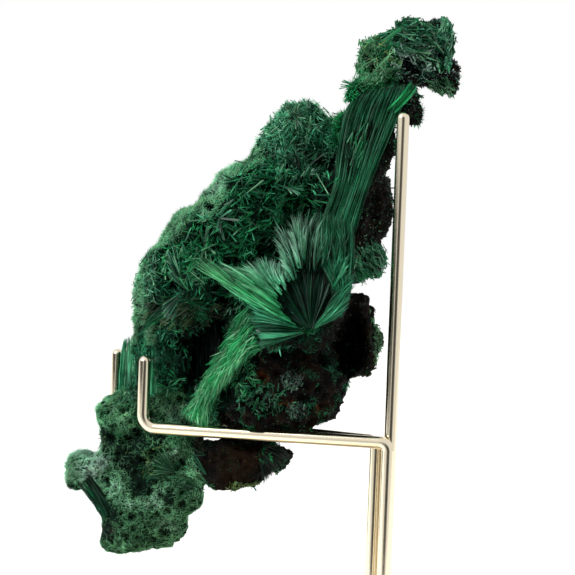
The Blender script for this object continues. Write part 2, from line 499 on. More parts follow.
SHADES = {
    "black": "#04120c",
    "deep": "#0a3523",
    "teal": "#1f4a42",
    "green": "#11663f",
    "bright": "#229a5a",
    "mint": "#49a67c",
    "sage": "#66aa78",
    "pale": "#8fd0a0",
    "white green": "#bce9c0",
    "moss": "#7d9a55",
    "olive": "#4b5f38",
    "grey": "#4d6059",
    "silver": "#8cb8a0",
    "ice": "#b9d2cc",
}


def colour_property(name, description, code):
    return bpy.props.FloatVectorProperty(
        name=name, description=description, subtype="COLOR", size=3, min=0, max=1,
        default=linear(code),
    )


def length_property(name, description, millimetres):
    return bpy.props.FloatProperty(
        name=name, description=description, subtype="DISTANCE", unit="LENGTH", min=0,
        default=millimetres * MM,
    )


class MalachiteSettings(bpy.types.PropertyGroup):
    """Sizes and colours of the mineral."""

    grain: length_property("Ground Mesh", "Size of the ground mesh's faces", 0.55)
    lumps: length_property("Lumps", "Height of the ground's lumps", 0.9)
    fibre_share: bpy.props.FloatProperty(
        name="Fibre Share", description="How much of the fine growth is made", default=1.0,
        min=0.05, max=1.5,
    )
    rock_dark: colour_property("Dark Rock", "Iron and manganese stained matrix", "#0d0c0a")
    rock_brown: colour_property("Brown Rock", "Limonite on the matrix", "#1f1207")
    rock_rust: colour_property("Rust", "Bright limonite spots", "#6a3613")
    crust: colour_property("Crust", "Grey-green crust on the matrix", "#374f45")
    purple: colour_property("Purple Stain", "Manganese stain between the felt", "#2b2023")
    ground_green: colour_property("Green Ground", "Ground between the fibres", "#082218")


class StandSettings(bpy.types.PropertyGroup):
    """Sizes and colours of the wire stand."""

    wire: length_property("Wire", "Thickness of the wire", 2.5)
    arm_height: length_property("Arm Height", "From the table to the middle of the arms", 50.0)
    prong_tip: length_property("Prong Tips", "Height of the two prongs", 64.7)
    post_tip: length_property("Post Tip", "Height of the back post", 115.5)
    base_width: length_property("Base Width", "Diameter of the round base", 100.0)
    base_height: length_property("Base Height", "Thickness of the round base", 8.0)
    plating: colour_property("Plating", "Colour of the nickel plate", "#f3e7cc")
    base_colour: colour_property("Base", "Colour of the base's plating", "#ddd2bd")


class StudioSettings(bpy.types.PropertyGroup):
    """Light and camera."""

    floor_colour: colour_property("Floor", "Colour of the floor", "#f6f6f4")
    lens: bpy.props.FloatProperty(
        name="Lens", description="Focal length on a 36 mm wide sensor, in millimetres",
        default=112.7, min=10, max=400,
    )
    distance: length_property("Distance", "From the camera to the stand's middle", 366.0)
    height: length_property("Height", "Of the camera above the table", 79.8)


def settings():
    scene = bpy.context.scene
    return scene.malachite_settings, scene.malachite_stand, scene.malachite_studio


def add_node(tree, kind, values=None, links=None, **attributes):
    """A shader node with its attributes, socket values and incoming links set."""
    node = tree.nodes.new(kind)
    for key, value in attributes.items():
        setattr(node, key, value)
    for socket, value in (values or {}).items():
        node.inputs[socket].default_value = value
    for socket, source in (links or {}).items():
        tree.links.new(source, node.inputs[socket])
    return node


def new_material(name):
    material = bpy.data.materials.new(name)
    material.use_nodes = True
    tree = material.node_tree
    return material, tree, tree.nodes["Principled BSDF"]


def set_values(shader, **values):
    for key, value in values.items():
        shader.inputs[key.replace("_", " ")].default_value = value


def rgba(colour):
    return (*colour, 1.0)


def malachite_fibre(name, roughness, gloss):
    """Acicular malachite. Each needle is a clean copper carbonate prism: silky, with sharp
    glints along its faces. Its colour is in the tint attribute, from root to tip."""
    material, tree, shader = new_material(name)
    tint = add_node(tree, "ShaderNodeAttribute", attribute_name="tint")
    place = add_node(tree, "ShaderNodeTexCoord")
    # Lighter and darker growth, about 4 mm across
    drift = add_node(
        tree, "ShaderNodeTexNoise", {"Scale": 260.0, "Detail": 3.0, "Roughness": 0.6},
        {"Vector": place.outputs["Object"]},
    )
    level = add_node(
        tree, "ShaderNodeMapRange",
        {"From Min": 0.3, "From Max": 0.7, "To Min": 0.5, "To Max": 1.5},
        {"Value": drift.outputs["Fac"]},
    )
    shaded = add_node(
        tree, "ShaderNodeVectorMath", {}, {0: tint.outputs["Color"], 1: level.outputs["Result"]},
        operation="MULTIPLY",
    )
    tree.links.new(shaded.outputs["Vector"], shader.inputs["Base Color"])
    shader.inputs["Specular IOR Level"].default_value = gloss
    set_values(shader, Roughness=roughness, IOR=1.6)
    return material


def patch(tree, place, centre, radius, ragged):
    """1 inside a ragged round patch, 0 outside. Centre and radius are in millimetres."""
    away = add_node(
        tree, "ShaderNodeVectorMath", {1: [c * MM for c in centre]}, {0: place},
        operation="DISTANCE",
    )
    spread = add_node(
        tree, "ShaderNodeMath", {1: 0.008}, {0: ragged}, operation="MULTIPLY"
    )
    total = add_node(
        tree, "ShaderNodeMath", {}, {0: away.outputs["Value"], 1: spread.outputs["Value"]},
        operation="ADD",
    )
    edge = add_node(
        tree, "ShaderNodeMapRange",
        {"From Min": (radius + 4.8) * MM, "From Max": (radius + 3.4) * MM},
        {"Value": total.outputs["Value"]}, clamp=True,
    )
    return edge.outputs["Result"]


def mix_colours(tree, share, first, second):
    """The socket that blends two colours, each a plain colour or another node's socket."""
    node = add_node(tree, "ShaderNodeMix", {}, {0: share}, data_type="RGBA")
    for slot, colour in ((6, first), (7, second)):
        if isinstance(colour, bpy.types.NodeSocket):
            tree.links.new(colour, node.inputs[slot])
        else:
            node.inputs[slot].default_value = rgba(colour)
    return node.outputs[2]


BROWN_SPOTS = [
    ((-10.4, 0.0, 43.9), 3.4), ((-7.4, 0.0, 44.8), 2.6), ((-11.1, 0.0, 41.0), 2.4),
    ((-1.6, -5.0, 55.0), 2.2), ((2.8, -4.0, 52.6), 2.6), ((-3.6, -7.0, 63.0), 2.0),
    ((8.0, -4.0, 56.0), 2.2), ((17.5, -1.0, 76.0), 2.0), ((14.0, 0.0, 58.0), 1.8),
    ((4.2, -8.0, 63.4), 1.6),
]
RUST_SPOTS = [
    ((-5.0, -8.5, 61.2), 0.9), ((-3.3, -8.0, 58.8), 1.2), ((-1.0, -8.0, 57.4), 0.7),
    ((6.9, -6.0, 55.9), 0.7), ((9.8, -5.0, 57.6), 0.9), ((29.4, -4.0, 122.8), 0.5),
]
PURPLE_SPOTS = [
    ((-31.2, 5.0, 46.4), 2.3), ((-31.6, 5.0, 41.6), 2.9), ((-28.2, 3.0, 40.6), 2.9),
    ((-37.6, 8.0, 46.2), 2.3), ((-37.3, 8.0, 27.2), 2.3), ((-36.0, 6.0, 31.0), 1.8),
    ((-27.0, 2.0, 44.4), 1.8), ((-30.0, 4.0, 37.5), 2.6), ((-34.0, 6.0, 43.8), 2.1),
    ((-26.5, 4.0, 48.5), 2.0), ((-24.0, 4.0, 35.0), 1.3), ((13.6, 0.0, 127.2), 1.2),
    ((17.6, 0.0, 127.6), 1.2), ((11.6, 0.0, 130.2), 1.0),
]


def matrix_rock(look):
    """Gossan: earthy iron and manganese oxide with limonite stains and a thin crust of copper
    carbonate. Matt and dark, with rust in the hollows and dusty grey-green on the high spots.
    """
    material, tree, shader = new_material("limonite and malachite crust")
    place = add_node(tree, "ShaderNodeTexCoord").outputs["Object"]
    # Clots of stain 3 mm across, grit 0.6 mm across
    clots = add_node(
        tree, "ShaderNodeTexNoise", {"Scale": 330.0, "Detail": 5.0, "Roughness": 0.62},
        {"Vector": place},
    ).outputs["Fac"]
    grit = add_node(
        tree, "ShaderNodeTexNoise", {"Scale": 1500.0, "Detail": 4.0, "Roughness": 0.7},
        {"Vector": place},
    ).outputs["Fac"]
    greenness = add_node(tree, "ShaderNodeAttribute", attribute_name="green").outputs["Fac"]
    depth = add_node(tree, "ShaderNodeAttribute", attribute_name="open").outputs["Fac"]
    stain = add_node(
        tree, "ShaderNodeMapRange", {"From Min": 0.48, "From Max": 0.66}, {"Value": clots}
    ).outputs["Result"]
    rock = mix_colours(tree, stain, look.rock_dark, look.rock_brown)
    crusty = add_node(
        tree, "ShaderNodeMapRange", {"From Min": 0.62, "From Max": 0.76}, {"Value": grit}
    ).outputs["Result"]
    raised = add_node(
        tree, "ShaderNodeMath", {}, {0: crusty, 1: depth}, operation="MULTIPLY"
    ).outputs["Value"]
    rock = mix_colours(tree, raised, rock, look.crust)
    for spots, colour in ((BROWN_SPOTS, look.rock_brown), (RUST_SPOTS, look.rock_rust)):
        for centre, radius in spots:
            rock = mix_colours(tree, patch(tree, place, centre, radius, clots), rock, colour)
    ground = mix_colours(tree, stain, look.ground_green, linear(SHADES["black"]))
    for centre, radius in PURPLE_SPOTS:
        share = patch(tree, place, centre, radius, clots)
        ground = mix_colours(tree, share, ground, look.purple)
    both = mix_colours(tree, greenness, rock, ground)
    # Grit darkens and lightens everything a little, and the pits are dark
    level = add_node(
        tree, "ShaderNodeMapRange", {"From Min": 0.3, "From Max": 0.7, "To Min": 0.4,
                                     "To Max": 1.6}, {"Value": grit},
    ).outputs["Result"]
    dim = add_node(
        tree, "ShaderNodeMath", {}, {0: level, 1: depth}, operation="MULTIPLY"
    ).outputs["Value"]
    shaded = add_node(
        tree, "ShaderNodeVectorMath", {}, {0: both, 1: dim}, operation="MULTIPLY"
    )
    tree.links.new(shaded.outputs["Vector"], shader.inputs["Base Color"])
    bump = add_node(
        tree, "ShaderNodeBump", {"Strength": 0.8, "Distance": 0.25 * MM}, {"Height": grit}
    )
    tree.links.new(bump.outputs["Normal"], shader.inputs["Normal"])
    shader.inputs["Specular IOR Level"].default_value = 0.08
    set_values(shader, Roughness=0.8, IOR=1.55)
    return material


def polished_nickel(name, colour, roughness):
    """Drawn steel wire, nickel plated and buffed: a warm mirror, slightly softened by the
    drawing marks that run along it."""
    material, tree, shader = new_material(name)
    place = add_node(tree, "ShaderNodeTexCoord").outputs["Object"]
    # Fine haze in the plating, about 2 mm across
    haze = add_node(
        tree, "ShaderNodeTexNoise", {"Scale": 500.0, "Detail": 3.0}, {"Vector": place}
    )
    rough = add_node(
        tree, "ShaderNodeMapRange", {"To Min": roughness * 0.7, "To Max": roughness * 1.4},
        {"Value": haze.outputs["Fac"]},
    )
    tree.links.new(rough.outputs["Result"], shader.inputs["Roughness"])
    shader.inputs["Base Color"].default_value = rgba(colour)
    set_values(shader, Metallic=1.0)
    return material


def deselect_all():
    for obj in bpy.context.selected_objects:
        obj.select_set(False)
    bpy.context.view_layer.objects.active = None


def link(obj):
    bpy.context.scene.collection.objects.link(obj)
    return obj


def select_only(obj):
    deselect_all()
    obj.select_set(True)
    bpy.context.view_layer.objects.active = obj


def unit(vectors):
    length = np.linalg.norm(vectors, axis=-1, keepdims=True)
    return vectors / np.maximum(length, 1e-9)


def scatter(corner, seed):
    """A random number from 0 to 1 for each whole-numbered lattice corner."""
    i, j, k = corner[:, 0], corner[:, 1], corner[:, 2]
    h = (i * 73856093) ^ (j * 19349663) ^ (k * 83492791) ^ (seed * 2654435761)
    h = ((h & 0xFFFFFFFF) * 1274126177) & 0xFFFFFFFF
    h = ((h ^ (h >> 15)) * 2246822519) & 0xFFFFFFFF
    return ((h ^ (h >> 13)) & 0xFFFF) / 65535.0


def noise(points, size, seed):
    """Smooth noise from 0 to 1 at points in millimetres, with lumps of the given size."""
    cell = points / size + 1000.0
    corner = np.floor(cell).astype(np.int64)
    part = cell - corner
    part = part * part * (3 - 2 * part)
    total = np.zeros(len(points))
    for offset in np.ndindex(2, 2, 2):
        weight = np.prod(np.where(offset, part, 1 - part), axis=1)
        total += scatter(corner + offset, seed) * weight
    return total


def cells(points, size, seed):
    """How near each point is to the wall between two round cells: 0 on it, about 1 inside."""
    spot = points / np.reshape(size, (-1, 1)) + 1000.0
    corner = np.floor(spot).astype(np.int64)
    nearest = np.full(len(points), 9.0)
    second = nearest.copy()
    for offset in np.ndindex(3, 3, 3):
        key = corner + offset - 1
        middle = key + np.stack([scatter(key, seed + i) for i in range(3)], axis=1)
        away = np.linalg.norm(middle - spot, axis=1)
        second = np.minimum(second, np.maximum(nearest, away))
        nearest = np.minimum(nearest, away)
    return np.clip((second - nearest) * 1.6, 0, 1)


def shade_table(names):
    return np.array([linear(SHADES[n]) for n in names])


def pick_shades(names, share):
    """Colours along the named shades, dark at 0 and light at 1."""
    table = shade_table(names)
    place = np.clip(share, 0, 0.999) * (len(table) - 1)
    low = place.astype(int)
    part = (place - low)[:, None]
    return table[low] * (1 - part) + table[low + 1] * part


def mesh_object(name, verts, faces_flat, sizes, material, tints):
    """A mesh from arrays, with places in metres and a colour for each corner point."""
    mesh = bpy.data.meshes.new(name)
    mesh.vertices.add(len(verts))
    mesh.vertices.foreach_set("co", np.asarray(verts, np.float32).ravel())
    mesh.loops.add(len(faces_flat))
    mesh.loops.foreach_set("vertex_index", np.asarray(faces_flat, np.int32))
    mesh.polygons.add(len(sizes))
    starts = np.concatenate([[0], np.cumsum(sizes)[:-1]]).astype(np.int32)
    mesh.polygons.foreach_set("loop_start", starts)
    mesh.update(calc_edges=True)
    mesh.validate()
    layer = mesh.attributes.new("tint", "FLOAT_COLOR", "POINT")
    colours = np.ones((len(verts), 4), np.float32)
    colours[:, :3] = np.clip(tints, 0, 0.9)
    layer.data.foreach_set("color", colours.ravel())
    mesh.shade_flat()
    mesh.materials.append(material)
    return link(bpy.data.objects.new(name, mesh))


# Widths of a crystal at its root and further on, and where a short one begins its point
NEEDLE = (0.9, 1.0, 0.85, 0.75, 0.6, 0.7)
LATH = (0.8, 1.0, 0.95, 0.93)


class Crystals:
    """Gathers straight or bent three-sided crystals and joins them into one mesh."""

    def __init__(self, seed):
        self.draw = np.random.default_rng(seed)
        self.verts, self.tints, self.faces, self.sizes = [], [], [], []
        self.total = 0

    def add(self, paths, widths, root_tints, tip_tints, form=NEEDLE):
        """paths: crystals x points x 3 in millimetres, the last point the tip."""
        count, points = paths.shape[:2]
        if not count:
            return
        rings = points - 1
        along = np.diff(paths, axis=1)
        along = unit(np.concatenate([along, along[:, -1:]], axis=1))[:, :rings]
        side = unit(self.draw.normal(size=(count, 1, 3)))
        first = unit(np.cross(along, side))
        second = np.cross(along, first)
        half = (widths[:, None] / 2 * np.array(form[:rings])[None, :])[:, :, None]
        corners = []
        for angle in (0.0, 2 * math.pi / 3, 4 * math.pi / 3):
            out = first * math.cos(angle) + second * math.sin(angle)
            corners.append(paths[:, :rings] + out * half)
        body = np.stack(corners, axis=2).reshape(count, rings * 3, 3)
        verts = np.concatenate([body, paths[:, -1:]], axis=1)
        mix = np.concatenate([np.repeat(np.arange(rings) / rings, 3), [1.0]])[None, :, None]
        tints = root_tints[:, None, :] * (1 - mix) + tip_tints[:, None, :] * mix
        quads = [
            (r * 3 + s, r * 3 + (s + 1) % 3, r * 3 + 3 + (s + 1) % 3, r * 3 + 3 + s)
            for r in range(rings - 1) for s in range(3)
        ]
        top = (rings - 1) * 3
        tips = [(top + s, top + (s + 1) % 3, rings * 3) for s in range(3)]
        flat = np.array([i for face in quads + tips for i in face])
        size = np.array([4] * len(quads) + [3] * len(tips))
        stride = rings * 3 + 1
        offsets = self.total + np.arange(count) * stride
        self.verts.append(verts.reshape(-1, 3))
        self.tints.append(tints.reshape(-1, 3))
        self.faces.append((flat[None, :] + offsets[:, None]).ravel())
        self.sizes.append(np.tile(size, count))
        self.total += count * stride

    def straight(self, roots, directions, lengths, widths, colours, form=LATH, off=1.3):
        """Straight crystals, darker at the root than at the tip. Those are left out whose
        tip would stand further off the ground than the given distance."""
        reach = directions * lengths[:, None]
        near = Ground.tree.find_nearest
        kept = np.array([near(Vector(tip))[3] < off for tip in roots + reach], bool)
        roots, reach, widths, colours = (a[kept] for a in (roots, reach, widths, colours))
        paths = np.stack([roots, roots + reach * form[-1], roots + reach], 1)
        self.add(paths, widths, colours * 0.45, colours * 1.6, form)

    def triangles(self):
        return int(sum((s - 2).sum() for s in self.sizes))

    def build(self, name, material):
        low, high = (np.array(c) / MM for c in CAD_BOX)
        verts = np.clip(np.concatenate(self.verts), low + 0.02, high - 0.02) * MM
        return mesh_object(
            name, verts, np.concatenate(self.faces), np.concatenate(self.sizes), material,
            np.concatenate(self.tints),
        )


def keep_piece(obj, slot, *replaced):
    """Says what the piece rides on, its finish, and which node it stands for."""
    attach(obj, "root")
    if replaced:
        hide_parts(*replaced)
    return obj


def mesh_arrays(mesh):
    points = np.empty(len(mesh.vertices) * 3, np.float32)
    mesh.vertices.foreach_get("co", points)
    edges = np.empty(len(mesh.edges) * 2, np.int32)
    mesh.edges.foreach_get("vertices", edges)
    normals = np.empty(len(mesh.vertices) * 3, np.float32)
    mesh.vertex_normals.foreach_get("vector", normals)
    points = points.reshape(-1, 3).astype(float) / MM
    return points, edges.reshape(-1, 2), normals.reshape(-1, 3).astype(float)


def mesh_triangles(mesh):
    mesh.calc_loop_triangles()
    faces = np.empty(len(mesh.loop_triangles) * 3, np.int32)
    mesh.loop_triangles.foreach_get("vertices", faces)
    return faces.reshape(-1, 3)


def smoothed(values, edges, rounds):
    """Averages each vertex value with its neighbours'."""
    values = np.array(values, float)
    flat = values.ndim == 1
    values = values.reshape(len(values), -1)
    count = np.bincount(edges.ravel(), minlength=len(values))[:, None] + 1.0
    for _ in range(rounds):
        total = values.copy()
        for column in range(values.shape[1]):
            for here, there in ((0, 1), (1, 0)):
                total[:, column] += np.bincount(
                    edges[:, here], values[edges[:, there], column], len(values)
                )
        values = total / count
    return values[:, 0] if flat else values


def drop_loose_bits(mesh):
    """Keeps only the largest connected part of the mesh."""
    bm = bmesh.new()
    bm.from_mesh(mesh)
    unseen, parts = set(bm.verts), []
    while unseen:
        part, front = [], [unseen.pop()]
        while front:
            vert = front.pop()
            part.append(vert)
            for edge in vert.link_edges:
                other = edge.other_vert(vert)
                if other in unseen:
                    unseen.remove(other)
                    front.append(other)
        parts.append(part)
    parts.sort(key=len)
    bmesh.ops.delete(bm, geom=[v for part in parts[:-1] for v in part], context="VERTS")
    bm.to_mesh(mesh)
    bm.free()


GROUND_NAMES = list(GROUNDS)
RIM, BACK = GROUND_NAMES.index("rim"), GROUND_NAMES.index("back")


def kind_of_ground(points, normals):
    """The kind of ground at each point, as an index into GROUND_NAMES."""
    scores = []
    for kind in GROUNDS.values():
        if kind["at"]:
            across = (points[:, 0] - kind["at"][0]) / kind["size"][0]
            up = (points[:, 2] - kind["at"][1]) / kind["size"][1]
            scores.append(across ** 2 + up ** 2)
    kinds = np.argmin(np.array(scores), axis=0)
    facing = normals[:, 0] * -0.75 + normals[:, 2] * 0.66
    flank = (points[:, 2] > 67) & (points[:, 2] < 109) & (points[:, 0] < -4)
    kinds[flank & (normals[:, 1] > -0.62) & (facing > 0.25)] = RIM
    kinds[normals[:, 1] > 0.15 + 0.5 * noise(points, 5.0, 51)] = BACK
    return kinds


def ground_value(kinds, key, part=None):
    table = [GROUNDS[n][key] if part is None else GROUNDS[n][key][part] for n in GROUND_NAMES]
    return np.array(table, float)[kinds]


class Ground:
    """The bare ground that the crystals stand on, kept between the operators."""

    points = normals = faces = depth = kinds = areas = tree = None


def sample_ground(count, draw):
    """Random spots on the ground: places, normals, kinds and how open they lie."""
    faces = Ground.faces[draw.choice(len(Ground.faces), size=count, p=Ground.areas)]
    u, v = draw.random(count), draw.random(count)
    over = u + v > 1
    u[over], v[over] = 1 - u[over], 1 - v[over]
    shares = np.stack([1 - u - v, u, v], axis=1)
    place = (Ground.points[faces] * shares[:, :, None]).sum(1)
    normal = unit((Ground.normals[faces] * shares[:, :, None]).sum(1))
    openness = (Ground.depth[faces] * shares).sum(1)
    return place, normal, Ground.kinds[faces[:, 0]], openness


def face_spot(x, z):
    """The point of the ground that the viewer sees at x, z, its normal, how open it lies."""
    eye = Vector((CAMERA_SIDE, -366.0, 79.8))
    ray = (Vector((x, 0.0, z)) - eye).normalized()
    place, normal, face, _ = Ground.tree.ray_cast(eye, ray)
    if place is None:
        place, normal, face, _ = Ground.tree.find_nearest(Vector((x, 0.0, z)))
    return np.array(place), np.array(normal), Ground.depth[Ground.faces[face]].mean()


def tangents(normals, draw):
    lean = draw.normal(size=normals.shape)
    lean -= normals * (lean * normals).sum(1, keepdims=True)
    return unit(lean)


def named(names):
    return [GROUND_NAMES.index(n) for n in names]


def nudged(points):
    """Moves the outline a little where the crystals reach less or more far."""
    moved = points.copy()
    for (x, z), radius, (right, up) in NUDGES:
        away = ((points[:, 0] - x) ** 2 + (points[:, 2] - z) ** 2) / radius ** 2
        share = np.clip(1 - away, 0, 1) ** 2
        moved[:, 0] += right * share
        moved[:, 2] += up * share
    return moved


class SPECIMEN_OT_ground(bpy.types.Operator):
    """Lays the rocky ground of the specimen just under the crystals' tips"""

    bl_idname = "specimen.ground"
    bl_label = "Ground"

    def execute(self, context):
        look = settings()[0]
        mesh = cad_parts["malachite"].data.copy()
        ground = link(bpy.data.objects.new("malachite_ground", mesh))
        select_only(ground)
        weld = ground.modifiers.new("weld", "WELD")
        weld.merge_threshold = 0.00001
        bpy.ops.object.modifier_apply(modifier="weld")
        for (x, y, z), radii in FILLED:
            bpy.ops.mesh.primitive_uv_sphere_add(
                segments=24, ring_count=16, radius=MM, location=(x * MM, y * MM, z * MM),
                scale=radii,
            )
            ground.select_set(True)
            context.view_layer.objects.active = ground
            bpy.ops.object.join()
        for rounds in (16, 3):
            remesh = ground.modifiers.new("even", "REMESH")
            remesh.mode = "VOXEL"
            remesh.voxel_size = look.grain
            bpy.ops.object.modifier_apply(modifier="even")
            drop_loose_bits(mesh)
            points, edges, normals = mesh_arrays(mesh)
            points = smoothed(points + normals * 0.035 * rounds, edges, rounds)
            if rounds > 9:
                points = nudged(points)
            mesh.vertices.foreach_set("co", (points * MM).astype(np.float32).ravel())
            mesh.update()
        points, edges, normals = mesh_arrays(mesh)
        calm = unit(smoothed(normals, edges, 14))
        kinds = kind_of_ground(points, calm)
        room = self.thickness(points, calm, mesh_triangles(mesh))
        room = smoothed(room, edges, 4)
        sink = smoothed(ground_value(kinds, "sink"), edges, 8)
        bare = smoothed(np.isin(kinds, named(BARE)).astype(float), edges, 5)
        walls = cells(points + 0.5 * (noise(points, 2.0, 9)[:, None] - 0.5),
                      ground_value(kinds, "cell"), 11)
        pits = smoothed(ground_value(kinds, "pits"), edges, 6)
        low = walls * walls * (3 - 2 * walls)
        drop = np.minimum(sink + low * pits, np.clip(room - 2.5, 0.2, 9) * 0.4)
        depth = 1 - 0.88 * low * np.clip(pits / 1.2, 0, 1)
        lumps = look.lumps / MM
        rise = (noise(points, 3.6, 1) - 0.5) * lumps
        rise += (np.abs(noise(points, 1.9, 2) - 0.5) * 2 - 0.5) * lumps * 0.6
        rise += (noise(points, 0.9, 3) - 0.5) * lumps * 0.45
        calm_share = np.clip(room / 5.0, 0, 1) * (0.5 + 1.3 * bare)
        moved = points - calm * (drop - rise * calm_share)[:, None]
        back = np.zeros(len(points))
        for (x, z), (wide, tall), deep in OPENINGS:
            ragged = 1 + 0.5 * (noise(points, 2.4, 31) - 0.5)
            away = ((points[:, 0] - x) / wide) ** 2 + ((points[:, 2] - z) / tall) ** 2
            share = np.clip((1.15 - away * ragged) / 0.5, 0, 1) * (calm[:, 1] < 0.2)
            share = share * (points[:, 1] < 14)
            back = np.maximum(back, share * np.clip(room - 4, 0, deep))
            depth = np.minimum(depth, 1 - 0.93 * share)
        moved[:, 1] += back
        low_corner, high_corner = (np.array(c) / MM for c in CAD_BOX)
        moved = np.clip(moved, low_corner + 0.02, high_corner - 0.02)
        mesh.vertices.foreach_set("co", (moved * MM).astype(np.float32).ravel())
        mesh.update()
        for name, values in (("green", 1 - bare), ("open", depth)):
            layer = mesh.attributes.new(name, "FLOAT", "POINT")
            layer.data.foreach_set("value", values.astype(np.float32))
        mesh.shade_smooth()
        mesh.materials.clear()
        mesh.materials.append(matrix_rock(look))
        self.remember(mesh, kinds, depth)
        print("ground", len(Ground.faces))
        keep_piece(ground, "malachite", "malachite")
        return {"FINISHED"}

    def thickness(self, points, normals, faces):
        """How far it is from each point to the other side."""
        tree = BVHTree.FromPolygons(points.tolist(), faces.tolist())
        room = np.full(len(points), 20.0)
        for index, (point, normal) in enumerate(zip(points, normals)):
            hit = tree.ray_cast(Vector(point - normal * 0.05), Vector(-normal), 20.0)
            if hit[0] is not None:
                room[index] = hit[3]
        return room

    def remember(self, mesh, kinds, depth):
        Ground.points, _, Ground.normals = mesh_arrays(mesh)
        Ground.faces = mesh_triangles(mesh)
        Ground.kinds, Ground.depth = kinds, depth
        a, b, c = (Ground.points[Ground.faces[:, i]] for i in range(3))
        area = np.linalg.norm(np.cross(b - a, c - a), axis=1)
        Ground.areas = area / area.sum()
        Ground.tree = BVHTree.FromPolygons(Ground.points.tolist(), Ground.faces.tolist())
        Ground.whole = area.sum() / 2


def bare_share(place):
    """1 in the middle of a purple bare spot, 0 away from it."""
    share = np.zeros(len(place))
    for centre, radius in PURPLE_SPOTS:
        away = np.linalg.norm((place - centre)[:, [0, 2]], axis=1) / radius
        share = np.maximum(share, np.clip(1.6 - away, 0, 1))
    return share


def growth(names, amount, seed, look):
    """Fine fibres over the kinds of ground named, thick on its ridges and thin in its pits."""
    fibres = Crystals(seed)
    draw = fibres.draw
    most = max(GROUNDS[n]["fine"][0] for n in names)
    spots = sample_ground(int(Ground.whole * most * amount * look.fibre_share), draw)
    place, normal, kinds, openness = spots
    density = ground_value(kinds, "fine", 0) / most
    patchy = 0.45 + 1.1 * noise(place, 2.2, seed)
    tufts = np.clip((noise(place, 2.4, 77) - 0.56) * 9, 0, 1) * openness
    patchy = np.where(np.isin(kinds, named(BARE)), tufts, patchy)
    kept = np.isin(kinds, named(names))
    kept &= draw.random(len(place)) < density * patchy * (1 - 0.9 * bare_share(place))
    place, normal, kinds, openness = (a[kept] for a in spots)
    length = ground_value(kinds, "fine", 1) * draw.uniform(0.5, 1.2, len(place))
    length *= 0.55 + 0.6 * openness
    width = ground_value(kinds, "fine", 2) * draw.uniform(0.7, 1.3, len(place))
    rise = ground_value(kinds, "fine", 3) * draw.uniform(0.5, 1.5, len(place))
    direction = unit(tangents(normal, draw) + normal * rise[:, None])
    root = place - direction * 0.15
    tip = place + direction * length[:, None]
    colours = np.zeros((len(place), 3))
    for index in np.unique(kinds):
        here = kinds == index
        share = 0.1 + 0.8 * noise(place[here], 2.6, seed + 5) + draw.normal(0, 0.2, here.sum())
        colours[here] = pick_shades(GROUNDS[GROUND_NAMES[index]]["shades"], share)
    level = (0.15 + 0.95 * openness) * (0.55 + 0.9 * noise(place, 5.0, seed + 9))
    level *= np.array([GROUNDS[n].get("level", 1.0) for n in GROUND_NAMES])[kinds]
    colours *= (level * (1 - 0.75 * bare_share(place)))[:, None]
    fibres.add(np.stack([root, tip], axis=1), width, colours * 0.6, colours * 1.5)
    return fibres


def spread_places(place, spacing):
    """Thins the places out until none is nearer to another than the spacing."""
    kept, taken = [], {}
    for index, spot in enumerate(place):
        cell = tuple((spot // spacing).astype(int))
        near = [
            taken[key] for dx in (-1, 0, 1) for dy in (-1, 0, 1) for dz in (-1, 0, 1)
            if (key := (cell[0] + dx, cell[1] + dy, cell[2] + dz)) in taken
        ]
        if all(np.sum((place[other] - spot) ** 2) > spacing ** 2 for other in near):
            taken[cell] = index
            kept.append(index)
    return np.array(kept, int)


def sprays(names, seed):
    """Sprays of larger crystals that spread from one point of the ground's ridges."""
    crystals = Crystals(seed)
    draw = crystals.draw
    place, normal, kinds, openness = sample_ground(30000, draw)
    order = np.argsort(-openness + draw.normal(0, 0.15, len(place)))
    for name in names:
        spacing, each, length, width, opening, shades = SPRAYS[name]
        here = order[kinds[order] == GROUND_NAMES.index(name)]
        here = here[openness[here] > draw.uniform(0.1, 0.55, len(here))]
        chosen = here[spread_places(place[here], spacing)]
        many = len(chosen) * each
        hub = np.repeat(place[chosen] - normal[chosen] * SPRAY_SINK, each, axis=0)
        up = np.repeat(normal[chosen], each, axis=0)
        axis = unit(
            tangents(normal[chosen], draw)
            + normal[chosen] * draw.uniform(0.0, 0.6, (len(chosen), 1))
        )
        direction = unit(np.repeat(axis, each, axis=0) + draw.normal(size=(many, 3)) * opening)
        low = (direction * up).sum(1) < 0.05
        direction[low] = unit(direction[low] + up[low] * 0.25)
        size = np.repeat(draw.uniform(0.6, 1.3, len(chosen)), each)
        reach = length * size * draw.uniform(0.5, 1.0, many)
        thick = width * np.repeat(draw.uniform(0.6, 1.3, len(chosen)), each)
        share = np.repeat(draw.uniform(0.05, 1.0, len(chosen)), each)
        colours = pick_shades(shades, share + draw.normal(0, 0.18, many))
        colours *= np.repeat(0.05 + 1.9 * openness[chosen], each)[:, None]
        thick *= draw.uniform(0.7, 1.2, many)
        crystals.straight(hub, direction, reach, thick, colours, NEEDLE)
    return crystals


def grow_strays(crystals, names, count, length, width, shades):
    """Long needles that lie across the others."""
    draw = crystals.draw
    place, normal, kinds, openness = sample_ground(count * 30, draw)
    here = np.flatnonzero(np.isin(kinds, named(names)) & (openness > 0.6))[:count]
    place, normal = place[here], normal[here]
    many = len(here)
    direction = unit(tangents(normal, draw) + normal * draw.uniform(-0.05, 0.3, (many, 1)))
    reach = length * draw.uniform(0.5, 1.3, many)
    roots = place + normal * draw.uniform(0.2, 1.0, (many, 1)) - direction * reach[:, None] / 2
    colours = pick_shades(shades, draw.beta(1.6, 2, many))
    widths = width * draw.uniform(0.6, 1.4, many)
    crystals.straight(roots, direction, reach, widths, colours, NEEDLE)


